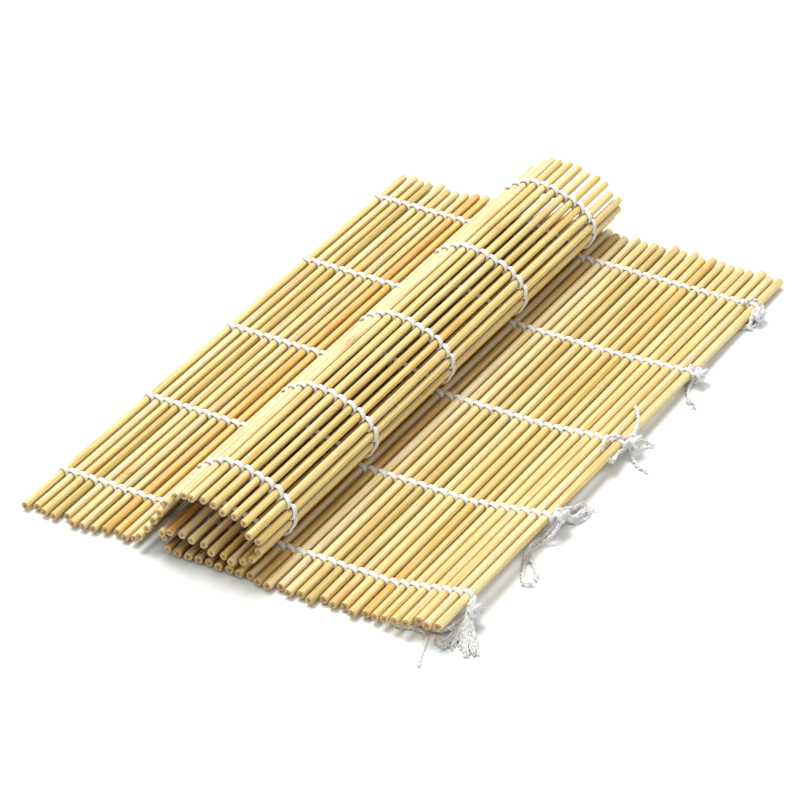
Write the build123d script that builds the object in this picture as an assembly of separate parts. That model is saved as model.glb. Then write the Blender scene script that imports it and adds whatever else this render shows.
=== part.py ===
"""A bamboo sushi rolling mat, part rolled up on a table: 67 round bamboo sticks held by five lines
of twined cotton string. Each line is one doubled yarn. It folds round the left edge stick, its two
halves pass over and under every stick in turn and swap sides in each gap, and it is knotted at the
right edge. Every gap between two sticks can fold, so the mat is modelled as stretches of sticks
joined by hinges whose axes lie in the gaps.

Millimetres, +Z up. The sticks lie along Y and the strings run along X.
"""
import os
from math import asin, cos, degrees, hypot, pi, radians, sin, tan

from build123d import *

# Sizes of the sticks
stick_length = 240.0
stick_diameter = 2.9
stick_sides = 14
stick_pitch = 3.65
end_stagger = 1.4

# Sizes of the string lines
line_count = 5
line_spacing = 50.0
near_margin = 21.8
line_drift = 4.0
yarn_width = 1.0
yarn_thickness = 0.6
yarn_gap = 0.2
stitch_length = 2.0
stitch_clearance = 0.05
hinge_clearance = 0.24
edge_turn_clearance = 0.18
edge_turn_thickness = 0.5

# The right edge is lifted off the table at its near end
edge_lift = 5.5
lifted_sticks = 7

# Sizes of the knots and of the loose yarn
knot_yarn = 0.85
knot_lobe = 0.7
knot_height_share = 1.0
knot_points = 18
knot_sides = 5
knot_clearance = 0.15
loose_yarn = 0.9
bend_share = 0.45
yarn_sides = 4

# The loose ends of the yarn: points in millimetres, across and along from the middle of the knot
# that each leaves, and up from the table. A tail is long enough to curl on the table.
tails = {
    1: [
        (1.1, -1.8, 6.5), (0.6, -3.5, 3.7), (-1.5, -6.0, 1.5), (-4.9, -8.4, 0.56),
        (-8.7, -10.7, 0.56), (-12.3, -11.7, 0.56), (-15.4, -10.9, 0.56), (-18.0, -8.9, 0.56),
        (-20.9, -9.4, 0.56), (-22.4, -12.0, 0.56), (-21.4, -14.8, 0.56), (-18.6, -15.8, 0.56),
        (-15.9, -14.3, 0.56), (-12.7, -13.9, 0.56), (-9.7, -15.7, 0.56), (-8.1, -19.0, 0.56),
        (-7.0, -22.8, 0.56), (-5.8, -26.7, 0.56), (-4.0, -30.4, 0.56),
    ],
    2: [
        (1.1, -1.8, 5.4), (0.2, -3.9, 3.1), (-1.8, -6.3, 1.3), (-3.4, -9.6, 0.56),
        (-3.6, -13.6, 0.56), (-2.4, -17.6, 0.56), (-0.6, -21.2, 0.56), (0.6, -25.0, 0.56),
        (3.2, -28.6, 0.56),
    ],
}
ends = {
    1: [(2.2, 0.2, 5.6), (3.0, -1.6, 3.2), (3.8, -4.6, 1.2), (4.6, -8.4, 0.56), (6.3, -13.0, 0.56)],
    2: [(1.1, 1.8, 5.4), (1.6, 3.8, 3.2), (2.4, 6.8, 1.3), (2.9, 10.8, 0.56), (4.6, 14.6, 0.56)],
    3: [(1.1, 1.8, 4.3), (2.0, 3.4, 2.2), (3.0, 5.8, 0.9), (3.6, 8.8, 0.56), (5.4, 11.4, 0.56)],
    4: [(1.1, -1.8, 3.1), (1.7, -4.0, 1.3), (2.2, -6.6, 0.56), (2.6, -9.6, 0.56), (4.2, -12.0, 0.56)],
    5: [(1.1, -1.8, 1.95), (0.8, -4.0, 0.8), (0.0, -6.4, 0.56), (-0.6, -9.2, 0.56)],
}

# The stretches from the left edge to the right edge: name, number of sticks, heading in degrees
# of the run from stick to stick. Zero lies flat on the table, and the heading of the rise, None
# here, is worked out so that the left and the right flat parts lie at the same height.
stretches = [
    ("left_edge", 3, 0),
    ("left_flap", 4, 0),
    ("left_floor", 4, 0),
    ("foot_1", 1, 28),
    ("foot_2", 1, 50),
    ("rise", 5, None),
    ("left_shoulder", 2, 27),
    ("crown", 2, -1),
    ("roof", 3, -17),
    ("right_shoulder", 2, -42),
    ("nose_1", 1, -76),
    ("nose_2", 1, -106),
    ("nose_3", 1, -136),
    ("tuck", 2, -168),
    ("inner_layer", 5, -194),
    ("lip", 1, -179),
    ("fold_1", 1, -130),
    ("fold_2", 1, -81),
    ("fold_3", 1, -32),
    ("base", 12, 0),
    ("right_floor", 6, 0),
    ("right_flap", 4, 0),
    ("right_edge", 4, 0),
]

# What follows from the sizes
stick_radius = stick_diameter / 2
stitch_inner = stick_radius + stitch_clearance
stitch_outer = stitch_inner + yarn_thickness
yarn_offset = (yarn_width + yarn_gap) / 2
stitch_half = stitch_length / 2
gap_half = stick_pitch / 2
near_end = -stick_length / 2
far_end = stick_length / 2
yarn_radius = loose_yarn / 2


def headings():
    """The heading of each stretch, with the rise's own worked out from the others."""
    drop = sum(count * sin(radians(turn)) for _, count, turn in stretches if turn is not None)
    rise_count = next(count for _, count, turn in stretches if turn is None)
    return [degrees(asin(-drop / rise_count)) if turn is None else turn for _, _, turn in stretches]


def stick_frames():
    """The x, z and heading of each stick, walked from the first stick of the left edge."""
    per_stick = [turn for (_, count, _), turn in zip(stretches, headings()) for _ in range(count)]
    x = 0.0
    z = stitch_outer
    frames = [(x, z, per_stick[0])]
    for before, after in zip(per_stick, per_stick[1:]):
        x += gap_half * (cos(radians(before)) + cos(radians(after)))
        z += gap_half * (sin(radians(before)) + sin(radians(after)))
        frames.append((x, z, after))
    return frames


frames = stick_frames()
stick_count = len(frames)


def line_place(line, index):
    """Where a string line crosses a stick. The lines run a little askew to the sticks."""
    drift = line_drift * index / (stick_count - 1)
    return near_end + near_margin + line_spacing * line - drift


def lift(index, y):
    """How far the lifted right edge raises stick number index at the place y."""
    steps = max(0, index - (stick_count - 1 - lifted_sticks))
    return edge_lift * steps / lifted_sticks * (far_end - y) / stick_length


def place(index, along, out, y):
    """A point given beside a stick: along the mat, out of its upper face and along the stick."""
    x, z, heading = frames[index]
    c = cos(radians(heading))
    s = sin(radians(heading))
    return Vector(x + along * c - out * s, y, z + along * s + out * c + lift(index, y))


def stick(index):
    """One bamboo stick. The ends of the sticks don't line up, as on the real mat. A round stick
    would cost three times the faces, so each has flats round it."""
    shift = end_stagger * sin(index * index + index)
    start = place(index, 0, 0, near_end + shift)
    end = place(index, 0, 0, far_end + shift)
    axis = end - start
    section = Plane(start, z_dir=axis) * RegularPolygon(stick_radius, stick_sides)
    return extrude(section, amount=axis.length).solid()


def faces_between(one, two, points):
    """The flat faces that join two matching edges: one quad if it is flat, or two triangles."""
    a, b = one
    d, c = two
    normal = (b - a).cross(c - a)
    if abs(normal.dot(d - a)) <= 1e-6 * normal.length * yarn_width:
        points.append([a, b, c, d])
    else:
        points.append([a, b, c])
        points.append([a, c, d])


def solid_of(polygons):
    """A closed solid from its flat faces."""
    return Solid(Shell([Face(Wire.make_polygon(corners)) for corners in polygons]))


def corner(index, side, end, y):
    """The section of a stitch at one end of its run over (side 1) or under (side -1) a stick:
    its inner point, by the stick, and its two outer points."""
    inner = place(index, end * stitch_half, side * stitch_inner, y)
    outer = [
        place(index, end * stitch_half, side * stitch_outer, y + half * yarn_width / 2)
        for half in (-1, 1)
    ]
    return inner, outer


def cut_end(index, side, end, y):
    """The section where a yarn stops in a folding gap, just short of the fold's axis."""
    reach = hinge_clearance / 2
    slope = (stick_pitch - stitch_length) / (stitch_inner + stitch_outer)
    raised = Vector(0, 0, (lift(index + end, y) - lift(index, y)) / 2)
    inner = place(index, end * (stitch_half + slope * (stitch_inner - reach)), side * reach, y)
    outer_along = end * (stitch_half + slope * (stitch_outer - reach))
    outer = [
        place(index, outer_along, side * reach, y + half * yarn_width / 2) + raised
        for half in (-1, 1)
    ]
    return inner + raised, outer


def edge_turn(y):
    """The section half way down the yarn's turn round the left edge stick."""
    inner_along = -(stick_radius + edge_turn_clearance)
    outer_along = inner_along - edge_turn_thickness
    return place(0, inner_along, 0, y), [
        place(0, outer_along, 0, y + half * yarn_width / 2) for half in (-1, 1)
    ]


def run(one, two, polygons):
    """The faces of a yarn between two sections that face the same way."""
    (inner_1, outer_1), (inner_2, outer_2) = one, two
    faces_between((inner_1, outer_1[0]), (inner_2, outer_2[0]), polygons)
    faces_between((outer_1[0], outer_1[1]), (outer_2[0], outer_2[1]), polygons)
    faces_between((outer_1[1], inner_1), (outer_2[1], inner_2), polygons)


def crossing(one, two, polygons):
    """The faces of a yarn that goes through a gap from one face of the mat to the other, so that
    its inner side becomes its outer side."""
    (inner_1, outer_1), (inner_2, outer_2) = one, two
    polygons.append([inner_1, outer_2[0], outer_2[1]])
    polygons.append([inner_2, outer_1[0], outer_1[1]])
    for half in (0, 1):
        polygons.append([inner_1, outer_1[half], outer_2[half]])
        polygons.append([inner_2, outer_2[half], outer_1[half]])


def yarn_steps(first, last, phase, line):
    """The sections of one yarn of a line over a stretch of sticks, from its left end to its right
    end, and after each section how it goes on."""
    steps = []
    for index in range(first, last + 1):
        y = line_place(line, index)
        side = 1 if (index + phase) % 2 == 0 else -1
        if index == first and first > 0:
            steps.append((cut_end(index, side, -1, y + side * yarn_offset), run))
        steps.append((corner(index, side, -1, y + side * yarn_offset), run))
        steps.append((corner(index, side, 1, y - side * yarn_offset), crossing))
    steps[-1] = (steps[-1][0], run)
    steps.append((cut_end(last, side, 1, y - side * yarn_offset), None))
    return steps


def yarn_solid(steps):
    """A yarn as one closed solid from its sections."""
    polygons = []
    for (section, how), (following, _) in zip(steps, steps[1:]):
        how(section, following, polygons)
    for inner, outer in (steps[0][0], steps[-1][0]):
        polygons.append([inner, outer[0], outer[1]])
    return solid_of(polygons)


def string_line(first, last, line):
    """Both yarns of a line over one stretch. On the left edge they are one yarn, folded round the
    first stick."""
    upper = yarn_steps(first, last, 0, line)
    lower = yarn_steps(first, last, 1, line)
    if first > 0:
        return [yarn_solid(upper), yarn_solid(lower)]
    back = [(section, how) for (section, _), how in zip(lower[::-1], following_ways(lower))]
    return [yarn_solid(back + [(edge_turn(line_place(line, first)), run)] + upper)]


def following_ways(steps):
    """How each section goes on when the sections are walked from right to left."""
    return [how for _, how in steps[:-1]][::-1] + [run]


def tube(points, diameter, sides):
    """A faceted tube along straight runs, with mitred corners, for a yarn drawn tight in a knot."""
    rings = []
    up = Vector(0, 0, 1)
    for index, point in enumerate(points):
        before = points[index] - points[max(index - 1, 0)]
        after = points[min(index + 1, len(points) - 1)] - points[index]
        tangent = (before.normalized() if index else Vector()) + (
            after.normalized() if index < len(points) - 1 else Vector()
        )
        tangent = tangent.normalized()
        across = tangent.cross(up).normalized()
        out = across.cross(tangent)
        rings.append(
            [
                point + (across * cos(2 * pi * k / sides) + out * sin(2 * pi * k / sides)) * (diameter / 2)
                for k in range(sides)
            ]
        )
    polygons = [rings[0], rings[-1]]
    for one, two in zip(rings, rings[1:]):
        for k in range(sides):
            following = (k + 1) % sides
            faces_between((one[k], one[following]), (two[k], two[following]), polygons)
    return solid_of(polygons)


def knot_centre(line):
    """The middle of a line's knot, which is drawn up against the last stick."""
    last = stick_count - 1
    reach = 3 * knot_lobe + knot_yarn / 2
    return place(last, stick_radius + knot_clearance + reach, 0, line_place(line, last))


def knot(line):
    """The overhand knot that ends a line at the right edge."""
    centre = knot_centre(line)
    turns = [2 * pi * (k + 1 / 2) / (knot_points + 1) for k in range(knot_points + 1)]
    points = [
        centre
        + Vector(
            cos(t) - 2 * cos(2 * t),
            sin(t) + 2 * sin(2 * t),
            -knot_height_share * sin(3 * t),
        )
        * knot_lobe
        for t in turns
    ]
    return tube(points, knot_yarn, knot_sides)


def loose_end(name, line, route):
    """A loose end of yarn, from beside its knot down to the table: straight runs joined by arcs as
    large as the runs allow. The tube has a ring at both ends and at the middle of each arc."""
    foot = knot_centre(line)
    points = [Vector(foot.X + x, foot.Y + y, z) for x, y, z in route]
    runs = [following - point for point, following in zip(points, points[1:])]
    radii = [
        bend_share * min(one.length, two.length) / tan(radians(one.get_angle(two) / 2))
        for one, two in zip(runs, runs[1:])
    ]
    path = FilletPolyline(*points, radius=radii)
    rings = [points[0]]
    for arc in path.edges().filter_by(GeomType.CIRCLE).sort_by(path):
        rings += [arc @ 0, arc @ (1 / 2), arc @ 1]
    solid = tube(rings + [points[-1]], loose_yarn, yarn_sides)
    area = RegularPolygon(yarn_radius, yarn_sides).area
    share = solid.volume / (area * path.length)
    print(name, "length", round(path.length, 1), "tightest bend", round(min(radii), 2))
    print("  radii", [round(radius, 1) for radius in radii], "volume to section times length", share)
    return solid


def export(name, solids):
    """Writes one node."""
    part = Compound(solids) if len(solids) > 1 else solids[0]
    part.label = name
    export_step(part.moved(Location(-base_centre)), f"parts/{name}.step")


nodes = {}
first = 0
for name, count, _ in stretches:
    last = first + count - 1
    nodes[f"sticks_{name}"] = [stick(index) for index in range(first, last + 1)]
    nodes[f"string_{name}"] = [
        yarn for line in range(line_count) for yarn in string_line(first, last, line)
    ]
    first = last + 1
for line in range(line_count):
    nodes[f"knot_{line + 1}"] = [knot(line)]
for number, route in ends.items():
    nodes[f"end_{number}"] = [loose_end(f"end_{number}", number - 1, route)]

# The two tails are free cords, so the middle of the part's base is worked out without them.
box = Compound([solid for solids in nodes.values() for solid in solids]).bounding_box()
base_centre = Vector(box.center().X, box.center().Y, box.min.Z)
for number, route in tails.items():
    nodes[f"tail_{number}"] = [loose_end(f"tail_{number}", number - 1, route)]
os.makedirs("parts", exist_ok=True)
for name, solids in nodes.items():
    export(name, solids)
print("box", box.size, "base centre", base_centre)
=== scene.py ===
"""Looks of the bamboo rolling mat: round sticks with grain and sawn ends, twined cotton string,
knots and frayed loose ends, on a white table.

Metres in Blender. The tables and sizes here are in millimetres, as in the CAD part."""
import random
from math import asin, atan2, cos, degrees, hypot, pi, radians, sin

import bpy
import numpy as np
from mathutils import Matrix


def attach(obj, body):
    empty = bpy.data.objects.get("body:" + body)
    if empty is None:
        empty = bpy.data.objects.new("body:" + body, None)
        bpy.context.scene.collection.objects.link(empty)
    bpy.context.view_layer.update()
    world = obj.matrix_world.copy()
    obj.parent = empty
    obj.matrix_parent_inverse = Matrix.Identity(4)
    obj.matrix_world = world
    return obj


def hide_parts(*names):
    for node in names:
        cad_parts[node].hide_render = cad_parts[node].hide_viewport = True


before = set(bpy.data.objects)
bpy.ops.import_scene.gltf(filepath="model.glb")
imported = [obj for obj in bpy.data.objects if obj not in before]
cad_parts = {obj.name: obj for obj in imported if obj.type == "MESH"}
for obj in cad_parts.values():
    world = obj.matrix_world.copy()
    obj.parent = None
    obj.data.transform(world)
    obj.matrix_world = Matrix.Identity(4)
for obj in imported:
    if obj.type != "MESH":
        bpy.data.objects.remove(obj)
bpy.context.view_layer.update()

MM = 0.001

# Sizes of the CAD part, and the middle of its base in the row frame
BASE = np.array([77.565, -0.009438, 0.0])
STICK_LENGTH = 240.0
STICK_RADIUS = 1.45
PITCH = 3.65
STAGGER = 1.4
STITCH_OUTER = 2.1
LINE_COUNT = 5
NEAR_LINE = -98.2
LINE_SPACING = 50.0
LINE_DRIFT = 4.0
EDGE_LIFT = 5.5
LIFTED = 7
SOLID_KNOT_GAP = 0.15
SOLID_KNOT_LOBE = 0.7
SOLID_KNOT_YARN = 0.85
# A knot reaches three lobes from its middle
KNOT_REACH = STICK_RADIUS + SOLID_KNOT_GAP + 3 * SOLID_KNOT_LOBE + SOLID_KNOT_YARN / 2
# The stretches from left to right: name, number of sticks and heading in degrees. The rise
# climbs as far as the others sink.
STRETCHES = [
    ("left_edge", 3, 0),
    ("left_flap", 4, 0),
    ("left_floor", 4, 0),
    ("foot_1", 1, 28),
    ("foot_2", 1, 50),
    ("rise", 5, None),
    ("left_shoulder", 2, 27),
    ("crown", 2, -1),
    ("roof", 3, -17),
    ("right_shoulder", 2, -42),
    ("nose_1", 1, -76),
    ("nose_2", 1, -106),
    ("nose_3", 1, -136),
    ("tuck", 2, -168),
    ("inner_layer", 5, -194),
    ("lip", 1, -179),
    ("fold_1", 1, -130),
    ("fold_2", 1, -81),
    ("fold_3", 1, -32),
    ("base", 12, 0),
    ("right_floor", 6, 0),
    ("right_flap", 4, 0),
    ("right_edge", 4, 0),
]


def lay_sticks():
    """Each stick's x, z and heading in the row frame, from left to right."""
    drop = sum(count * sin(radians(turn)) for _, count, turn in STRETCHES if turn is not None)
    rise = degrees(asin(-drop / next(count for _, count, turn in STRETCHES if turn is None)))
    headings = [
        rise if turn is None else turn for _, count, turn in STRETCHES for _ in range(count)
    ]
    laid = [(0.0, STITCH_OUTER, headings[0])]
    for before, after in zip(headings, headings[1:]):
        x, z, _ = laid[-1]
        x += PITCH / 2 * (cos(radians(before)) + cos(radians(after)))
        z += PITCH / 2 * (sin(radians(before)) + sin(radians(after)))
        laid.append((x, z, after))
    return laid


STICKS = lay_sticks()
LAST = len(STICKS) - 1


def stretches():
    """Each stretch's name with the numbers of its sticks."""
    first = 0
    for name, count, _ in STRETCHES:
        yield name, range(first, first + count)
        first += count


def lift(index, y):
    """How far the lifted right edge raises a stick."""
    steps = max(0.0, index - (LAST - LIFTED))
    return EDGE_LIFT * steps / LIFTED * (STICK_LENGTH / 2 - y) / STICK_LENGTH


def place(index, along, out, y):
    """A point beside a stick. along and out are from its middle, and y is in the row frame."""
    x, z, heading = STICKS[index]
    c, s = cos(radians(heading)), sin(radians(heading))
    point = (x + along * c - out * s, y, z + along * s + out * c + lift(index, y))
    return np.array(point) - BASE


def line_place(line, index):
    """Where a string line crosses a stick."""
    return NEAR_LINE + LINE_SPACING * line - LINE_DRIFT * index / LAST


def knot_middle(line):
    """Where the CAD part has the knot of a line."""
    return place(LAST, KNOT_REACH, 0.0, line_place(line, LAST))


# Camera, fitted to the ends of the sticks in the photograph

SENSOR_WIDTH = 36.0
FOCAL_LENGTH = 181.61
CAMERA_SEES = 20.0
CAMERA_PLACE = (0.53307, -0.970459, 0.694921)
CAMERA_DOWN = 32.158
CAMERA_TURN = 29.311


def add_camera():
    data = bpy.data.cameras.new("camera")
    data.sensor_width = SENSOR_WIDTH
    data.lens = FOCAL_LENGTH
    data.clip_end = CAMERA_SEES
    camera = bpy.data.objects.new("camera", data)
    camera.location = CAMERA_PLACE
    camera.rotation_euler = (radians(90 - CAMERA_DOWN), 0.0, radians(CAMERA_TURN))
    bpy.context.collection.objects.link(camera)
    bpy.context.scene.camera = camera


add_camera()


# Meshes

WAVE_HEIGHTS = (0.4, 1.0)
WAVE_PACES = (0.6, 1.4)
PHASES = (0, 6)
# A line steeper than this starts with a level up vector
STEEP = 0.9
SPAN_POINTS = 12
# No yarn comes nearer to the table than this
TABLE_GAP = 0.03
# What the thin end of a yarn keeps of its size
TIP_SIZE = 0.25
# How far the marks on a yarn are drawn out along it
MARK_LENGTH = 3.0


def mesh_object(name, points, faces):
    """A new smooth mesh object from points in millimetres."""
    mesh = bpy.data.meshes.new(name)
    mesh.from_pydata([tuple(p) for p in np.asarray(points) * MM], [], faces)
    mesh.polygons.foreach_set("use_smooth", [True] * len(mesh.polygons))
    mesh.validate()
    mesh.update()
    obj = bpy.data.objects.new(name, mesh)
    bpy.context.collection.objects.link(obj)
    return obj


def add_attribute(obj, name, kind, values):
    """A named value at each point, for the materials."""
    layer = obj.data.attributes.new(name, kind, "POINT")
    field = {"FLOAT_COLOR": "color", "FLOAT_VECTOR": "vector", "FLOAT": "value"}[kind]
    layer.data.foreach_set(field, np.asarray(values, dtype=np.float32).ravel())


class Build:
    """Collects the points, faces and values of one mesh."""

    def __init__(self):
        self.points, self.faces, self.values, self.count = [], [], {}, 0

    def add(self, points, faces, **values):
        self.points.append(np.asarray(points))
        self.faces += [tuple(self.count + k for k in face) for face in faces]
        self.count += len(points)
        for key, value in values.items():
            self.values.setdefault(key, []).append(np.asarray(value, dtype=float))

    def finish(self, name, kinds):
        obj = mesh_object(name, np.concatenate(self.points), self.faces)
        for key, kind in kinds.items():
            add_attribute(obj, key, kind, np.concatenate(self.values[key]))
        return obj


def ring_faces(rings, sides):
    """Quads between rings of points, wound outwards, with a cap at each end."""
    faces = []
    for r in range(rings - 1):
        for k in range(sides):
            n = (k + 1) % sides
            faces.append((r * sides + k, (r + 1) * sides + k, (r + 1) * sides + n, r * sides + n))
    faces.append(tuple(range(sides)))
    faces.append(tuple((rings - 1) * sides + k for k in reversed(range(sides))))
    return faces


def wave(rng, count, longest):
    """A smooth random line as a sum of sines."""
    terms = [(rng.uniform(*WAVE_HEIGHTS) / (k + 1),
              rng.uniform(*WAVE_PACES) * (k + 1) * 2 * pi / longest,
              rng.uniform(0, 2 * pi)) for k in range(count)]
    return lambda t: sum(a * np.sin(w * t + p) for a, w, p in terms)


def frames_along(path, across=None):
    """Unit tangent, side and up vectors along a line of points. The side keeps to the direction
    across where one is given, and otherwise the vectors turn as little as possible."""
    path = np.asarray(path, dtype=float)
    tangent = np.gradient(path, axis=0)
    tangent /= np.linalg.norm(tangent, axis=1)[:, None]
    if across is not None:
        side = across - tangent * (tangent @ across)[:, None]
        side /= np.linalg.norm(side, axis=1)[:, None]
        return tangent, side, np.cross(side, tangent)
    up = np.array([0.0, 0.0, 1.0])
    if abs(tangent[0] @ up) > STEEP:
        up = np.array([0.0, 1.0, 0.0])
    ups = []
    for t in tangent:
        up = up - t * (up @ t)
        up /= np.linalg.norm(up)
        ups.append(up)
    ups = np.array(ups)
    return tangent, np.cross(tangent, ups), ups


def lengths_along(path):
    """The length of a line from its start to each of its points."""
    steps = np.linalg.norm(np.diff(path, axis=0), axis=1)
    return np.concatenate([[0.0], np.cumsum(steps)])


def resample(path, step):
    """Points at an even distance along a line."""
    path = np.asarray(path, dtype=float)
    s = lengths_along(path)
    count = max(3, int(round(s[-1] / step)) + 1)
    even = np.linspace(0, s[-1], count)
    return np.stack([np.interp(even, s, path[:, k]) for k in range(3)], axis=1)


def smooth_line(points, step):
    """A smooth line through a few points."""
    p = np.asarray(points, dtype=float)
    if len(p) < 3:
        return resample(p, step)
    padded = np.vstack([2 * p[0] - p[1], p, 2 * p[-1] - p[-2]])
    out = []
    for k in range(1, len(padded) - 2):
        a, b, c, d = padded[k - 1:k + 3]
        for t in np.linspace(0, 1, SPAN_POINTS, endpoint=False):
            out.append(0.5 * ((2 * b) + (c - a) * t + (2 * a - 5 * b + 4 * c - d) * t * t
                              + (3 * b - a - 3 * c + d) * t ** 3))
    out.append(p[-1])
    return resample(out, step)


def yarn_values(twist, s, lobes, groove, phase):
    """A twisted yarn's values for its material: a place in its fibres, and how far each point is
    out of the grooves between its plies, for the shade painted in the grooves."""
    fibre = np.stack([np.cos(twist), np.sin(twist),
                      np.broadcast_to(s[:, None] / MARK_LENGTH, twist.shape)], axis=2) + phase
    shade = (lobes - 1 + groove) / groove
    return {"fibre": fibre.reshape(-1, 3), "shade": shade.reshape(-1)}


def ply_tube(build, path, radius, sides=9, plies=3, lay=2.6, wide=1.0, thick=1.0, phase=0.0,
             groove=0.2, taper=0.0, across=None):
    """A twisted yarn along a line: the section has a lobe for each ply and turns along the line.
    wide and thick are its width across and up, as shares of the radius. taper is the length over
    which its end thins out. It rests on the table."""
    tangent, side, up = frames_along(path, across)
    s = lengths_along(path)
    angle = 2 * pi * np.arange(sides) / sides
    turn = phase + 2 * pi * s / lay
    size = np.full(len(path), float(radius))
    if taper:
        size *= TIP_SIZE + (1 - TIP_SIZE) * np.clip((s[-1] - s) / taper, 0, 1) ** 0.5
    lobes = 1 - groove + groove * np.abs(np.cos(plies / 2 * (angle[None, :] - turn[:, None])))
    r = size[:, None] * lobes
    wide = np.broadcast_to(wide, len(path))[:, None]
    points = (np.asarray(path)[:, None, :]
              + side[:, None, :] * (r * np.cos(angle) * wide)[:, :, None]
              + up[:, None, :] * (r * np.sin(angle) * thick)[:, :, None])
    points[:, :, 2] = np.maximum(points[:, :, 2], TABLE_GAP)
    twist = angle[None, :] - turn[:, None]
    build.add(points.reshape(-1, 3), ring_faces(len(path), sides),
              **yarn_values(twist, s, lobes, groove, phase))


# Cords: the two long loose ends

# Their routes, as in the CAD part: x and y from the middle of the knot, z above the table
TAILS = {
    1: [
        (1.1, -1.8, 6.5), (0.6, -3.5, 3.7), (-1.5, -6.0, 1.5), (-4.9, -8.4, 0.56),
        (-8.7, -10.7, 0.56), (-12.3, -11.7, 0.56), (-15.4, -10.9, 0.56), (-18.0, -8.9, 0.56),
        (-20.9, -9.4, 0.56), (-22.4, -12.0, 0.56), (-21.4, -14.8, 0.56), (-18.6, -15.8, 0.56),
        (-15.9, -14.3, 0.56), (-12.7, -13.9, 0.56), (-9.7, -15.7, 0.56), (-8.1, -19.0, 0.56),
        (-7.0, -22.8, 0.56), (-5.8, -26.7, 0.56), (-4.0, -30.4, 0.56),
    ],
    2: [
        (1.1, -1.8, 5.4), (0.2, -3.9, 3.1), (-1.8, -6.3, 1.3), (-3.4, -9.6, 0.56),
        (-3.6, -13.6, 0.56), (-2.4, -17.6, 0.56), (-0.6, -21.2, 0.56), (0.6, -25.0, 0.56),
        (3.2, -28.6, 0.56),
    ],
}
TAIL_STEP = 0.25
# Two yarns laid round each other
PAIR_SPREAD = 0.32
PAIR_RADIUS = 0.38
PAIR_LAY = 3.8
PAIR_TWIST = {"sides": 8, "plies": 2, "lay": 1.5, "taper": 0.6}
PAIR_PHASE = 1.3
PAIR_SHIFT = 0.2
YARN_KINDS = {"fibre": "FLOAT_VECTOR", "shade": "FLOAT"}


def route_line(name, points):
    """The smooth line of a cord: a NURBS spline with the route's points as control points."""
    curve = bpy.data.curves.new(name, "CURVE")
    curve.dimensions = "3D"
    curve.resolution_u = SPAN_POINTS
    spline = curve.splines.new("NURBS")
    spline.points.add(len(points) - 1)
    for target, point in zip(spline.points, points):
        target.co = (*(np.asarray(point) * MM), 1.0)
    spline.order_u = 3
    spline.use_endpoint_u = True
    obj = bpy.data.objects.new(name, curve)
    bpy.context.collection.objects.link(obj)
    mesh = bpy.data.meshes.new_from_object(obj)
    line = np.array([v.co[:] for v in mesh.vertices]) / MM
    bpy.data.objects.remove(obj)
    bpy.data.meshes.remove(mesh)
    bpy.data.curves.remove(curve)
    return line


def two_strands(build, line, rng):
    """Two yarns laid round each other along a line."""
    _, side, up = frames_along(line)
    s = lengths_along(line)
    for strand in (0, 1):
        turn = 2 * pi * s / PAIR_LAY + pi * strand + rng.uniform(-PAIR_SHIFT, PAIR_SHIFT)
        around = side * np.cos(turn)[:, None] + up * np.sin(turn)[:, None]
        ply_tube(build, line + PAIR_SPREAD * around, PAIR_RADIUS, phase=strand * PAIR_PHASE,
                 **PAIR_TWIST)


tail_pieces = []
for number, route in TAILS.items():
    foot = knot_middle(number - 1)
    points = [(foot[0] + x, foot[1] + y, z) for x, y, z in route]
    line = resample(route_line(f"route_{number}", points), TAIL_STEP)
    build = Build()
    two_strands(build, line, random.Random(number))
    tail = build.finish(f"loose_tail_{number}", YARN_KINDS)
    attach(tail, "right_edge")
    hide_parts(f"tail_{number}")
    tail_pieces.append(tail)


# Sticks

# The bamboo that is seen is a little slimmer than the solids
SHOWN_RADIUS = 1.30
RADIUS_RANGE = (0.94, 1.07)
# The sticks of the right sheet are thicker than the rest, and its last ones most of all
RIGHT_SHEET = 41
RIGHT_SIZE = 1.12
WIDE = {63: 1.14, 64: 1.16, 65: 1.18, 66: 1.20}
TONES = {
    "cream": (0.95, 0.84, 0.49),
    "straw": (0.94, 0.78, 0.34),
    "pale": (0.95, 0.81, 0.41),
    "gold": (0.90, 0.67, 0.22),
    "orange": (0.85, 0.56, 0.17),
    "olive": (0.76, 0.61, 0.20),
}
# How often each tone comes, in the same order
TONE_SHARES = [26, 31, 24, 13, 3, 3]
TONE_SEED = 11
TONE_RANGE = (0.94, 1.04)
# Sticks whose tone is plain in the photograph
NOTED = {0: "straw", 1: "cream", 2: "straw", 3: "olive", 4: "cream", 5: "straw", 6: "cream",
         7: "straw", 8: "orange", 9: "gold", 10: "cream", 14: "straw", 54: "olive",
         60: "straw", 61: "pale", 62: "straw", 63: "pale", 64: "straw", 65: "cream", 66: "pale"}
# The sticks of the roll, between which little light comes, which get the deepest painted shade, and
# what the others have of that painted shade
ROLLED = range(11, 46)
OPEN_SHADE = 0.3
# Node scars: stick, place along it from its middle, strength
SCARS = [(5, -92.0, 1.0), (12, 40.0, 0.4), (19, -20.0, 0.7), (21, 66.0, 0.5), (23, -58.0, 0.6),
         (25, 12.0, 0.5), (44, 60.0, 0.5), (47, -30.0, 0.4), (50, 20.0, 0.9), (53, -55.0, 0.9),
         (56, 48.0, 0.5), (58, -86.0, 0.7), (61, 5.0, 0.5), (63, 84.0, 0.8)]
SCAR_WIDTH = 1.6
SCAR_SWELL = 4.0
SCAR_HEIGHT = 0.07
# A sawn end, from its pith out: share of the radius and depth below the rim
END_RINGS = [(0.16, 0.16), (0.42, 0.09), (0.74, 0.03), (0.92, 0.0)]
# The side of a stick: distance from its end and share of the radius
EDGE_RINGS = [(0.05, 0.97), (0.35, 1.0), (2.0, 1.0)]
MIDDLE_START = 7.0
MIDDLE_RINGS = 30
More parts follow.
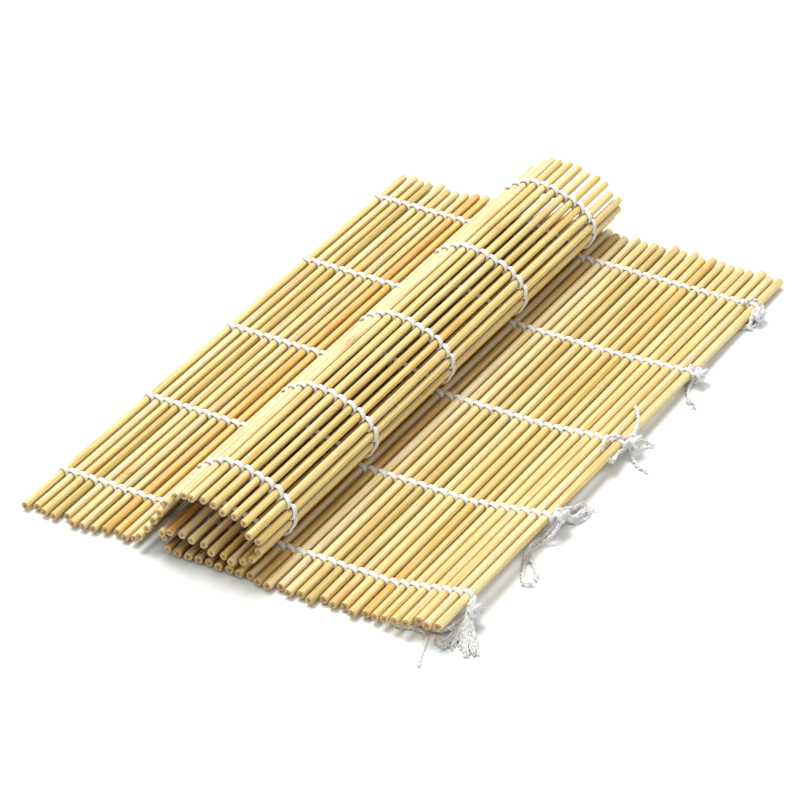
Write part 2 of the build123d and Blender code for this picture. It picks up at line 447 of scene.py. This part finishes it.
# How far a sawn end is out of square, and how far along the stick that reaches
SKEW = 0.12
SKEW_REACH = 2.0
STICK_SIDES = 18
STICK_ANGLES = 2 * pi * np.arange(STICK_SIDES) / STICK_SIDES
# The section's flats: how many there are round it and how deep they are
FACETS = [(2, 0.025), (3, 0.018), (5, 0.012)]
# How far a stick is out of straight, sideways and up, and how much its size varies along it
BOW = 0.12
SAG = 0.10
BOW_LENGTH = 420.0
LUMP = 0.018
LUMP_LENGTH = 90.0
# Each stick takes its grain from another place: how far across, and the share of that outwards
GRAIN_SHIFT = 400
SHIFT_OUT = 0.7
STICK_SEEDS = 100
STICK_KINDS = {"grain": "FLOAT_VECTOR", "mark": "FLOAT_VECTOR", "tone": "FLOAT_COLOR"}

random_tones = random.Random(TONE_SEED)


def stick_tone(index):
    """A stick's colour, with its share of the painted shade deep in the roll as alpha."""
    name = NOTED.get(index) or random_tones.choices(list(TONES), TONE_SHARES)[0]
    colour = np.array(TONES[name]) * random_tones.uniform(*TONE_RANGE)
    return [*colour, 1.0 if index in ROLLED else OPEN_SHADE]


def stick_size(index, rng):
    usual = RIGHT_SIZE if index >= RIGHT_SHEET else 1.0
    return SHOWN_RADIUS * rng.uniform(*RADIUS_RANGE) * WIDE.get(index, usual)


def scar_at(index, y, width):
    """How strongly the node scars mark a stick at a place along it."""
    return sum(strength * float(np.exp(-((y - middle) / width) ** 2))
               for stick, middle, strength in SCARS if stick == index)


def stick_rings():
    """Each ring of a stick: distance from its near end, share of the radius, depth into the wood
    and whether it is on a sawn end."""
    near = [(0.0, share, depth, 1.0) for share, depth in END_RINGS]
    near += [(station, share, 0.0, 0.0) for station, share in EDGE_RINGS]
    middle = [(station, 1.0, 0.0, 0.0)
              for station in np.linspace(MIDDLE_START, STICK_LENGTH - MIDDLE_START, MIDDLE_RINGS)]
    far = [(STICK_LENGTH - station, share, depth, cut) for station, share, depth, cut in near]
    return near + middle + far[::-1]


def add_stick(build, index):
    """One stick: a slightly bowed, slightly uneven rod with rough sawn ends."""
    rng = random.Random(STICK_SEEDS + index)
    start = -STICK_LENGTH / 2 + STAGGER * sin(index * index + index)
    bow, sag = wave(rng, 3, BOW_LENGTH), wave(rng, 3, BOW_LENGTH)
    lump = wave(rng, 5, LUMP_LENGTH)
    size = stick_size(index, rng)
    section = 1 + sum(depth * np.cos(flats * STICK_ANGLES + rng.uniform(*PHASES))
                      for flats, depth in FACETS)
    shift = rng.uniform(0, GRAIN_SHIFT)
    skews = [SKEW * wave(rng, 2, 2 * pi)(STICK_ANGLES) for _ in range(2)]
    points, grain, mark = [], [], []
    for station, share, depth, cut in stick_rings():
        y = start + station
        far = station > STICK_LENGTH / 2
        to_end = STICK_LENGTH - station if far else station
        swell = 1 + LUMP * lump(y) + SCAR_HEIGHT * scar_at(index, y, SCAR_SWELL)
        inward = -depth if far else depth
        slope = skews[far] * share * max(0.0, 1 - to_end / SKEW_REACH)
        scar = scar_at(index, y, SCAR_WIDTH)
        for a, tilt, r in zip(STICK_ANGLES, slope, size * swell * share * section):
            along, out = r * cos(a), r * sin(a)
            points.append(place(index, along + BOW * bow(y), out + SAG * sag(y),
                                y + inward + tilt))
            grain.append((along + shift, out + SHIFT_OUT * shift, y))
            mark.append((cut, share, scar))
    faces = [tuple(reversed(face)) for face in ring_faces(len(points) // STICK_SIDES, STICK_SIDES)]
    build.add(points, faces, grain=grain, mark=mark,
              tone=np.tile(stick_tone(index), (len(points), 1)))


stick_pieces = []
for name, numbers in stretches():
    build = Build()
    for index in numbers:
        add_stick(build, index)
    piece = build.finish(f"bamboo_{name}", STICK_KINDS)
    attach(piece, name)
    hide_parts(f"sticks_{name}")
    stick_pieces.append(piece)


# String

YARN = 0.92
# How far a stitch slants to each side, how high its middle lies on a stick, and how far it may
# be out of place
OFFSET = 0.78
BED = 0.36
JITTER = 0.15
STITCH_STEPS = 13
# How squarely a stitch goes over a stick: 1 is a sine
SQUARE = 0.6
# The yarn's width in a gap, and what it gains over a stick
GAP_WIDTH = 0.80
WIDTH_GAIN = 0.34
YARN_TWIST = {"sides": 11, "lay": 3.0, "thick": 0.56, "groove": 0.13}
ALONG_STICKS = np.array([0.0, 1.0, 0.0])
# More than the number of lines, so that each line has its own seed in each stretch
YARN_SEEDS = 7


def stitch_path(index, side, y, jitter, turn_back):
    """The middle of a yarn over (side 1) or under (side -1) a stick, from gap to gap, with its
    width at each point. It is widest over the stick. A yarn that turns back goes round it."""
    points, widths = [], []
    for k in range(STITCH_STEPS + 1):
        t = k / STITCH_STEPS
        bulge = sin(pi * t)
        along = PITCH / 2 * cos(pi * (1 - t))
        out = side * (SHOWN_RADIUS + BED) * bulge ** SQUARE if bulge > 0 else 0.0
        slant = side * OFFSET * cos(pi * t)
        if turn_back and t < 0.5:
            along = (SHOWN_RADIUS + BED) * cos(pi * (1 - t))
            out = side * (SHOWN_RADIUS + BED) * bulge
            slant = side * OFFSET * sin(2 * pi * t)
        points.append(place(index, along, out, y + slant + jitter * bulge))
        widths.append(GAP_WIDTH + WIDTH_GAIN * bulge)
    return points, widths


def add_line(build, numbers, line, rng):
    """Both yarns of a string line over one stretch of sticks."""
    yarns = []
    for phase in (0, 1):
        path, widths = [], []
        for index in numbers:
            side = 1 if (index + phase) % 2 == 0 else -1
            jitter = rng.uniform(-JITTER, JITTER)
            stitch, width = stitch_path(index, side, line_place(line, index), jitter, index == 0)
            skip = 1 if path else 0
            path += stitch[skip:]
            widths += width[skip:]
        yarns.append((path, widths))
    if 0 in numbers:
        (path, widths), (back, back_widths) = yarns
        yarns = [(back[::-1] + path[1:], back_widths[::-1] + widths[1:])]
    for path, widths in yarns:
        ply_tube(build, path, YARN, wide=widths, phase=rng.uniform(*PHASES), across=ALONG_STICKS,
                 **YARN_TWIST)


yarn_pieces = []
for name, numbers in stretches():
    build = Build()
    for line in range(LINE_COUNT):
        add_line(build, numbers, line, random.Random(YARN_SEEDS * numbers[0] + line))
    piece = build.finish(f"yarn_{name}", YARN_KINDS)
    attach(piece, name)
    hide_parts(f"string_{name}")
    yarn_pieces.append(piece)


# Knots and loose strands

KNOT_LOBE = 0.88
KNOT_YARN = 0.68
KNOT_POINTS = 60
KNOT_STRETCH = (0.75, 1.1, 1.3)
KNOT_LAY = 2.2
# The two yarns that run into a knot: their lay, the step of their points and where they bend
LEAD_LAY = 2.4
LEAD_STEP = 0.25
LEAD_BEND = (-0.2, 0.6, 0.9)
KNOT_SEEDS = 50
# How far each knot has slipped along the edge from its place in the CAD part
KNOT_SLIPS = [(-0.4, -4.0, -1.2), (-0.4, 2.8, 0.4), (-0.4, 3.2, 0.6), (-0.4, 1.2, 0.4),
              (-0.4, -4.2, 0.6)]
# A strand that starts within this distance of its knot runs on into it
KNOT_NEAR = 6.0
# Loose strands read from the photograph. x and y are from the knot's place in the CAD part and z
# is above the table. Twisted strands keep their lay, a joined one runs on into a long loose end,
# and the others have come apart into fibres.
STRANDS = {
    1: [
        ("fibres", [(-1.0, -7.0, 5.0), (0.5, -12.0, 1.5), (3.5, -18.5, 0.5)]),
        ("fibres", [(-0.5, -7.0, 5.0), (1.5, -11.5, 1.5), (6.0, -20.0, 0.5)]),
        ("fibres", [(0.0, -7.0, 5.0), (2.5, -11.0, 1.5), (7.5, -18.5, 0.5)]),
        ("fibres", [(0.5, -6.5, 5.0), (4.5, -12.0, 1.5), (8.0, -18.0, 0.5)]),
        ("fibres", [(-1.5, -12.0, 2.0), (-2.5, -14.0, 0.6), (-3.5, -18.0, 0.6),
                    (-7.5, -15.0, 0.6)]),
        ("fibres", [(-1.0, -8.5, 3.5), (-2.5, -12.0, 1.5), (-4.0, -15.5, 0.7),
                    (-6.5, -15.5, 0.6)]),
        ("fibres", [(-1.0, -9.5, 3.0), (-1.5, -13.5, 1.0), (-2.0, -17.5, 0.6)]),
        ("fibres", [(-2.0, -6.5, 4.6), (-3.5, -8.5, 3.0), (-5.0, -11.0, 1.8), (-8.0, -12.5, 1.2),
                    (-12.0, -12.5, 1.0)]),
        ("fibres", [(-2.0, -8.0, 3.0), (-4.5, -11.0, 1.8), (-8.5, -11.5, 1.4),
                    (-15.0, -11.5, 1.1)]),
        ("fibres", [(-1.5, -8.0, 3.5), (-1.0, -13.5, 1.0), (0.5, -19.5, 0.5)]),
        ("fibres", [(-1.0, -8.5, 3.0), (-2.5, -15.0, 0.8), (-2.0, -21.0, 0.5)]),
        ("fibres", [(0.0, -2.0, 5.5), (2.5, -1.5, 4.0)]),
        ("fibres", [(0.0, -5.5, 4.0), (2.0, -7.5, 2.0), (2.5, -9.5, 0.9)]),
    ],
    2: [
        ("fibres", [(-2.5, 4.5, 6.5), (-2.0, 9.0, 5.0), (-1.5, 13.5, 3.0), (-1.0, 19.0, 1.6),
                    (2.5, 20.5, 0.6)]),
        ("fibres", [(-2.5, 4.5, 5.5), (-1.5, 7.5, 2.5), (1.0, 9.5, 0.6), (2.5, 12.5, 0.6),
                    (1.5, 20.5, 0.6)]),
        ("fibres", [(-1.5, 5.5, 5.5), (1.0, 9.0, 2.8), (1.5, 15.0, 1.8), (4.0, 18.0, 0.8)]),
        ("fibres", [(-3.5, -6.0, 0.8), (-4.5, -11.0, 0.6), (-1.0, -15.5, 0.6), (1.5, -18.5, 0.6)]),
        ("fibres", [(-1.5, 1.5, 4.4), (-2.5, -2.5, 2.4), (-3.5, -5.5, 1.3), (-4.0, -9.5, 1.0),
                    (-3.0, -14.0, 0.9), (-1.0, -19.0, 0.8)]),
        ("fibres", [(-2.4, -15.0, 0.7), (1.5, -18.0, 0.7), (4.5, -22.5, 0.7), (6.0, -26.0, 0.8)]),
        ("fibres", [(2.5, -27.8, 0.8), (4.5, -27.8, 1.0), (6.5, -26.4, 0.8)]),
        ("joined", [(0.5, 1.0, 5.8), (1.0, -2.0, 5.4)]),
    ],
    3: [
        ("twisted", [(-2.0, 6.5, 6.4), (-3.0, 11.0, 7.3), (-6.0, 16.0, 7.4), (-8.0, 19.0, 7.2)]),
        ("twisted", [(-3.5, 0.5, 7.4), (-6.0, -1.0, 7.8), (-7.5, -3.5, 7.4), (-6.5, -7.0, 7.2)]),
        ("fibres", [(-2.0, 1.0, 4.0), (-2.0, -5.0, 5.0), (-1.5, -9.5, 5.0), (-3.5, -10.0, 6.6),
                    (-5.0, -9.5, 7.0)]),
        ("fibres", [(-0.5, 6.0, 4.0), (1.5, 9.5, 1.5), (4.5, 10.5, 0.6)]),
        ("twisted", [(-1.5, 2.0, 3.5), (0.5, 0.0, 1.5), (4.0, -3.0, 0.6), (6.5, -4.0, 0.6)]),
    ],
    4: [
        ("twisted", [(-4.5, 1.5, 6.0), (-1.5, 4.0, 4.0), (-1.0, 0.5, 1.8), (-2.5, 0.0, 1.2)]),
        ("twisted", [(-2.5, 0.0, 1.5), (-1.5, -5.5, 0.8), (0.5, -8.5, 0.6), (3.5, -11.5, 0.6)]),
        ("fibres", [(-1.5, -5.5, 0.8), (0.5, -8.5, 0.6), (2.0, -12.5, 0.6)]),
    ],
    5: [
        ("twisted", [(-7.5, -2.5, 4.8), (-5.5, 2.0, 4.8), (-2.0, 2.5, 2.5), (0.0, -5.5, 0.8),
                     (-2.0, -9.5, 0.8)]),
        ("fibres", [(-2.0, -5.0, 3.2), (-1.5, -8.0, 1.6), (-2.0, -9.5, 0.8), (1.0, -9.0, 0.6)]),
    ],
}
STRAND_STEP = 0.3
STRAND_SEEDS = 90
# A strand that has come apart
FIBRE_COUNT = 10
FIBRE_RADIUS = 0.25
FIBRE_SPREAD = 0.6
FIBRE_CRIMP = 0.3
FIBRE_WAVE = 5.0
FIBRE_REACH = (0.7, 1.0)
FIBRE_SIZES = (0.8, 1.2)
LEAST_POINTS = 4
FREE_AFTER = 2.0
FIBRE_TWIST = {"sides": 5, "plies": 2, "lay": 1.2, "groove": 0.15, "taper": 0.8}
# A tuft of short ends
TUFT_COUNT = 10
TUFT_REACH = (0.5, 1.0)
TUFT_POINTS = 8
TUFT_RADII = (0.06, 0.12)
TUFT_SWAY = 0.25
TUFT_WAVE = 4.0
TUFT_SAG = 0.05
TUFT_TWIST = {"sides": 4, "plies": 2, "lay": 1.2, "groove": 0.1, "taper": 0.6}
# The tufts of a knot and those at the end of a strand: length and spread
KNOT_TUFT = (3.6, 0.5)
END_TUFT = (3.0, 0.35)
KNOT_TUFT_HEADINGS = ((0.3, -1.0, 0.3), (0.4, 1.0, 0.4), (1.0, 0.0, 0.6))


def sway_along(rng, s, longest):
    """A random sideways sway in all three directions at each length along a fibre."""
    return np.stack([wave(rng, 3, longest)(s) for _ in range(3)], axis=1)


def fibres(build, line, rng):
    """Fibres that part from one another along a line."""
    s = lengths_along(line)
    share = (s / s[-1])[:, None]
    loose = FIBRE_CRIMP * np.minimum(s / FREE_AFTER, 1.0)[:, None]
    for _ in range(FIBRE_COUNT):
        push = np.array([rng.gauss(0, FIBRE_SPREAD), rng.gauss(0, FIBRE_SPREAD),
                         rng.gauss(0, FIBRE_SPREAD / 2)])
        path = line + share * push + loose * sway_along(rng, s, FIBRE_WAVE)
        path = path[:max(LEAST_POINTS, int(len(path) * rng.uniform(*FIBRE_REACH)))]
        ply_tube(build, path, FIBRE_RADIUS * rng.uniform(*FIBRE_SIZES), **FIBRE_TWIST)


def tuft(build, root, heading, rng, length, spread):
    """A tuft of short fibres from a point, which sag a little."""
    heading = np.array(heading) / np.linalg.norm(heading)
    for _ in range(TUFT_COUNT):
        way = heading + [rng.gauss(0, spread) for _ in range(3)]
        s = np.linspace(0, length * rng.uniform(*TUFT_REACH), TUFT_POINTS)
        sway = TUFT_SWAY * (s / length)[:, None] * sway_along(rng, s, TUFT_WAVE)
        path = root + s[:, None] * way + sway
        path[:, 2] -= TUFT_SAG * s ** 2
        ply_tube(build, path, rng.uniform(*TUFT_RADII), **TUFT_TWIST)


def knot_object(line, middle):
    """The knot and the two yarns that run into it from the last gap."""
    rng = random.Random(KNOT_SEEDS + line)
    build = Build()
    turns = [2 * pi * (k + 0.5) / KNOT_POINTS for k in range(KNOT_POINTS)]
    trefoil = np.array([(cos(t) - 2 * cos(2 * t), sin(t) + 2 * sin(2 * t), -sin(3 * t))
                        for t in turns])
    ply_tube(build, middle + KNOT_LOBE * trefoil * KNOT_STRETCH, KNOT_YARN, lay=KNOT_LAY, phase=line)
    for half in (-1, 1):
        start = place(LAST, PITCH / 2, 0.0, line_place(line, LAST) + half * OFFSET)
        bend = (start + middle) / 2 + np.array(LEAD_BEND) * (1, half, 1)
        lead = smooth_line([start, bend, middle], LEAD_STEP)
        ply_tube(build, lead, KNOT_YARN, lay=LEAD_LAY, phase=half)
    for heading in KNOT_TUFT_HEADINGS:
        tuft(build, middle, heading, rng, *KNOT_TUFT)
    return build.finish(f"knot_of_line_{line + 1}", YARN_KINDS)


def strands_object(line, middle):
    """The loose strands that leave a knot."""
    rng = random.Random(STRAND_SEEDS + line)
    build = Build()
    foot = knot_middle(line) * (1.0, 1.0, 0.0)
    for kind, route in STRANDS[line + 1]:
        points = [foot + point for point in route]
        starts_at_knot = np.linalg.norm(points[0] - middle) < KNOT_NEAR
        path = smooth_line([middle] + points if starts_at_knot else points, STRAND_STEP)
        if kind == "fibres":
            fibres(build, path, rng)
        else:
            two_strands(build, path, rng)
        if kind == "twisted":
            tuft(build, path[-1], path[-1] - path[-4], rng, *END_TUFT)
    return build.finish(f"loose_strands_{line + 1}", YARN_KINDS)


knot_pieces = []
for line, slip in enumerate(KNOT_SLIPS):
    middle = knot_middle(line) + slip
    for piece, node_name in ((knot_object(line, middle), "knot"),
                             (strands_object(line, middle), "end")):
        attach(piece, "right_edge")
        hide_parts(f"{node_name}_{line + 1}")
        knot_pieces.append(piece)


# Materials


def material(name):
    mat = bpy.data.materials.new(name)
    mat.use_nodes = True
    mat.node_tree.nodes.clear()
    return mat, mat.node_tree


def join(tree, value, socket):
    """Gives a socket a value or another node's output."""
    if isinstance(value, bpy.types.NodeSocket):
        tree.links.new(value, socket)
    else:
        socket.default_value = value


def node(tree, kind, inputs=None, **settings):
    """A new shader node. An input is a value or another node's output."""
    made = tree.nodes.new(kind)
    for key, value in settings.items():
        setattr(made, key, value)
    for key, value in (inputs or {}).items():
        join(tree, value, made.inputs[key])
    return made


def attribute(tree, name):
    return node(tree, "ShaderNodeAttribute", attribute_name=name, attribute_type="GEOMETRY").outputs


def calc(tree, operation, *values):
    return node(tree, "ShaderNodeMath", dict(enumerate(values)), operation=operation).outputs[0]


def mix(tree, share, one, two, blend="MIX"):
    """One colour mixed with another, or multiplied by it. A colour is three numbers or an output."""
    one, two = ((*c, 1.0) if isinstance(c, tuple) else c for c in (one, two))
    return node(tree, "ShaderNodeMix", {0: share, 6: one, 7: two}, data_type="RGBA",
                blend_type=blend).outputs[2]


def ramp(tree, value, low, high, most=1.0):
    """A share that goes from 0 at low to most at high."""
    return node(tree, "ShaderNodeMapRange", {0: value, 1: low, 2: high, 4: most},
                clamp=True).outputs[0]


def noise(tree, vector, scales, detail):
    """A noise with its own scale in each direction."""
    stretched = node(tree, "ShaderNodeVectorMath", {0: vector, 1: scales},
                     operation="MULTIPLY").outputs[0]
    return node(tree, "ShaderNodeTexNoise", {"Vector": stretched, "Scale": 1.0,
                                             "Detail": detail}).outputs[0]


# How far the painted shade of the bamboo and the table looks for other surfaces, and with how many
# samples
SHADE_REACH = 0.03
SHADE_SAMPLES = 8
BUMP_STRENGTH = 0.5


def open_air(tree):
    """How open a place is to its surroundings, from 0 in a narrow gap to 1 on a flat surface."""
    return node(tree, "ShaderNodeAmbientOcclusion", {"Distance": SHADE_REACH},
                samples=SHADE_SAMPLES).outputs["AO"]


def bump(tree, height, distance):
    return node(tree, "ShaderNodeBump", {"Height": height, "Strength": BUMP_STRENGTH,
                                         "Distance": distance}).outputs[0]


def show(tree, shader):
    """Joins a shader to the material's output."""
    tree.links.new(shader.outputs[0], node(tree, "ShaderNodeOutputMaterial").inputs[0])


# Bamboo

# Its noises: the scales across and along a stick, and the detail
GRAIN = {
    "streak": ((1.3, 1.3, 0.02), 3.0),
    "vein": ((2.6, 2.6, 0.012), 2.0),
    "patch": ((0.35, 0.35, 0.03), 2.0),
    "fibre": ((5.0, 5.0, 0.05), 4.0),
}
SPECKLE = ((1.5, 1.5, 1.1), 3.0)
SAW_MARKS = ((2.5, 2.5, 1.0), 3.0)
# What lies over a stick's tone: noise, where it starts and where it is full, most, colour, blend
LAYERS = [
    ("streak", 0.52, 0.66, 0.70, (0.88, 0.71, 0.42), "MULTIPLY"),
    ("vein", 0.53, 0.60, 0.55, (0.84, 0.66, 0.38), "MULTIPLY"),
    ("patch", 0.53, 0.66, 0.70, (0.93, 0.75, 0.46), "MULTIPLY"),
    ("fibre", 0.50, 0.66, 0.50, (0.96, 0.90, 0.62), "MIX"),
    ("fibre", 0.44, 0.32, 0.55, (0.62, 0.42, 0.22), "MULTIPLY"),
]
SCAR_COLOUR = (0.38, 0.17, 0.04)
SCAR_SPECKLE = (0.35, 0.55, 0.9)
RIM_COLOUR = (0.82, 0.62, 0.28)
BROWN_RIM = (0.40, 0.22, 0.06)
BROWN_SHARE = (0.42, 0.58, 0.85)
PITH_COLOUR = (0.14, 0.06, 0.02)
PITH_EDGE = (0.05, 0.60)
# Painted shade on the flanks of the sticks and deep between them, darker where a place is less
# open: how open a place is where it starts and where it is full, and its most
FLANK_SHADE = (0.88, 0.68, 0.40)
FLANK_SHARE = (0.60, 0.15, 0.7)
DEEP_SHADE = (0.26, 0.16, 0.06)
DEEP_SHARE = (0.42, 0.08)
# The fibre noise from the one to the other, and the roughness that they have
FIBRE_ENDS = (0.3, 0.7)
ROUGHNESS = (0.34, 0.52)
GRAIN_RELIEF = 0.0003


def skin_colour(tree, tone, grain, noises, scar):
    """The side of a stick: streaks, veins, patches and fibres over its tone, and the scars."""
    colour = tone
    for key, start, full, most, tint, blend in LAYERS:
        colour = mix(tree, ramp(tree, noises[key], start, full, most), colour, tint, blend)
    speckle = ramp(tree, noise(tree, grain, *SPECKLE), *SCAR_SPECKLE)
    return mix(tree, calc(tree, "MULTIPLY", scar, speckle), colour, SCAR_COLOUR)


def sawn_colour(tree, grain, radial):
    """A sawn end: a dark pith and a rim with brown marks of the saw."""
    marks = ramp(tree, noise(tree, grain, *SAW_MARKS), *BROWN_SHARE)
    rim = mix(tree, marks, RIM_COLOUR, BROWN_RIM)
    return mix(tree, ramp(tree, radial, *PITH_EDGE), PITH_COLOUR, rim)


def with_painted_shade(tree, colour, rolled):
    """The colour with warm shade painted between the sticks by how open each place is, deepest in
    the roll.
    """
    open_share = open_air(tree)
    colour = mix(tree, ramp(tree, open_share, *FLANK_SHARE), colour, FLANK_SHADE, "MULTIPLY")
    deep = calc(tree, "MULTIPLY", ramp(tree, open_share, *DEEP_SHARE), rolled)
    return mix(tree, deep, colour, DEEP_SHADE, "MULTIPLY")


def bamboo():
    mat, tree = material("bamboo")
    grain, tone = attribute(tree, "grain")["Vector"], attribute(tree, "tone")
    cut, radial, scar = node(tree, "ShaderNodeSeparateXYZ",
                             {0: attribute(tree, "mark")["Vector"]}).outputs
    noises = {key: noise(tree, grain, *settings) for key, settings in GRAIN.items()}
    skin = skin_colour(tree, tone["Color"], grain, noises, scar)
    colour = mix(tree, cut, skin, sawn_colour(tree, grain, radial))
    height = calc(tree, "MULTIPLY", calc(tree, "ADD", noises["streak"], noises["fibre"]), 0.5)
    limits = dict(enumerate((noises["fibre"], *FIBRE_ENDS, *ROUGHNESS)))
    rough = node(tree, "ShaderNodeMapRange", limits)
    show(tree, node(tree, "ShaderNodeBsdfPrincipled", {
        "Base Color": with_painted_shade(tree, colour, tone["Alpha"]), "Roughness": rough.outputs[0],
        "Normal": bump(tree, height, GRAIN_RELIEF), "Specular IOR Level": 0.5}))
    return mat


# Cotton yarn

FUZZ = ((5.0, 5.0, 2.0), 3.0)
# Painted shade in the grooves between the plies, the plies' own colour, and where the one goes over
# into the other
PAINTED_GROOVE_SHADE = (0.78, 0.78, 0.76)
PLY_COLOUR = (0.92, 0.92, 0.91)
PLY_EDGE = (0.0, 0.6)
FUZZ_COLOUR = (0.66, 0.66, 0.63)
FUZZ_SHARE = (0.5, 0.25, 0.25)
FUZZ_RELIEF = 0.0002


def cotton():
    mat, tree = material("cotton_yarn")
    fuzz = noise(tree, attribute(tree, "fibre")["Vector"], *FUZZ)
    # The grooves between the plies are darkened as painted shade
    out_of_groove = ramp(tree, attribute(tree, "shade")["Fac"], *PLY_EDGE)
    colour = mix(tree, out_of_groove, PAINTED_GROOVE_SHADE, PLY_COLOUR)
    colour = mix(tree, ramp(tree, fuzz, *FUZZ_SHARE), colour, FUZZ_COLOUR)
    show(tree, node(tree, "ShaderNodeBsdfPrincipled", {
        "Base Color": colour, "Roughness": 0.9, "Normal": bump(tree, fuzz, FUZZ_RELIEF),
        "Sheen Weight": 0.25, "Specular IOR Level": 0.2}))
    return mat


bamboo_material, cotton_material = bamboo(), cotton()
for piece in stick_pieces:
    piece.data.materials.append(bamboo_material)
for piece in yarn_pieces + knot_pieces + tail_pieces:
    piece.data.materials.append(cotton_material)


# Table, backdrop and light

TABLE_REACH = 6.0
TABLE_COLOUR = (0.90, 0.90, 0.90)
# Painted shade on the table where it is less open, under and beside the mat: its colour, and how
# open a place is where it starts and where it is full
TABLE_SHADE = (0.36, 0.28, 0.16)
TABLE_SHADE_SHARE = (0.30, 0.04)
# The camera sees the table a little lighter than its light makes it, but not in narrow gaps
GLOW_COLOUR = (0.8, 1.0, 0.95, 1.0)
GLOW_SHARE = (0.05, 0.25, 0.12)
WHITE = (1.0, 1.0, 1.0, 1.0)
WORLD_LIGHT = 0.32
WORLD_SEEN = 1.0
# Lamps: name, place, size and watts
LAMPS = [("key", (-0.5, 0.3, 1.7), 0.9, 33.0), ("fill", (1.0, -1.2, 1.3), 1.4, 7.0)]


def choose(tree, seen, usual, for_camera):
    """One shader for what is seen and another for all other light."""
    return node(tree, "ShaderNodeMixShader",
                {0: seen, 1: usual.outputs[0], 2: for_camera.outputs[0]})


def white_table():
    mat, tree = material("white_table")
    open_share = open_air(tree)
    # The table's colour darkens where it is less open, as painted shade
    colour = mix(tree, ramp(tree, open_share, *TABLE_SHADE_SHARE), TABLE_COLOUR, TABLE_SHADE)
    diffuse = node(tree, "ShaderNodeBsdfDiffuse", {"Color": colour})
    glow = node(tree, "ShaderNodeEmission", {
        "Color": GLOW_COLOUR, "Strength": ramp(tree, open_share, *GLOW_SHARE)})
    both = node(tree, "ShaderNodeAddShader", {0: diffuse.outputs[0], 1: glow.outputs[0]})
    seen = node(tree, "ShaderNodeLightPath").outputs["Is Camera Ray"]
    show(tree, choose(tree, seen, diffuse, both))
    return mat


def add_table():
    mesh = bpy.data.meshes.new("table")
    corners = [(-1, -1), (1, -1), (1, 1), (-1, 1)]
    mesh.from_pydata([(x * TABLE_REACH, y * TABLE_REACH, 0) for x, y in corners], [], [(0, 1, 2, 3)])
    mesh.materials.append(white_table())
    table = bpy.data.objects.new("table", mesh)
    bpy.context.collection.objects.link(table)


def add_world():
    """A white backdrop where it is seen, and a dimmer even light on the object."""
    world = bpy.data.worlds.new("world")
    bpy.context.scene.world = world
    world.use_nodes = True
    tree = world.node_tree
    tree.nodes.clear()
    rays = node(tree, "ShaderNodeLightPath").outputs
    seen = calc(tree, "MAXIMUM", rays["Is Camera Ray"], rays["Is Glossy Ray"])
    seen = calc(tree, "MAXIMUM", seen, rays["Is Transmission Ray"])
    dim = node(tree, "ShaderNodeBackground", {"Color": WHITE, "Strength": WORLD_LIGHT})
    white = node(tree, "ShaderNodeBackground", {"Color": WHITE, "Strength": WORLD_SEEN})
    out = node(tree, "ShaderNodeOutputWorld")
    tree.links.new(choose(tree, seen, dim, white).outputs[0], out.inputs[0])


def add_lamp(name, location, size, power):
    """A square lamp that faces the middle of the table."""
    data = bpy.data.lights.new(name, "AREA")
    data.size = size
    data.energy = power
    lamp = bpy.data.objects.new(name, data)
    lamp.location = location
    x, y, z = location
    lamp.rotation_euler = (atan2(hypot(x, y), z), 0.0, atan2(-y, -x) - pi / 2)
    bpy.context.collection.objects.link(lamp)


add_table()
add_world()
for lamp in LAMPS:
    add_lamp(*lamp)

bpy.context.scene.view_settings.view_transform = "Standard"
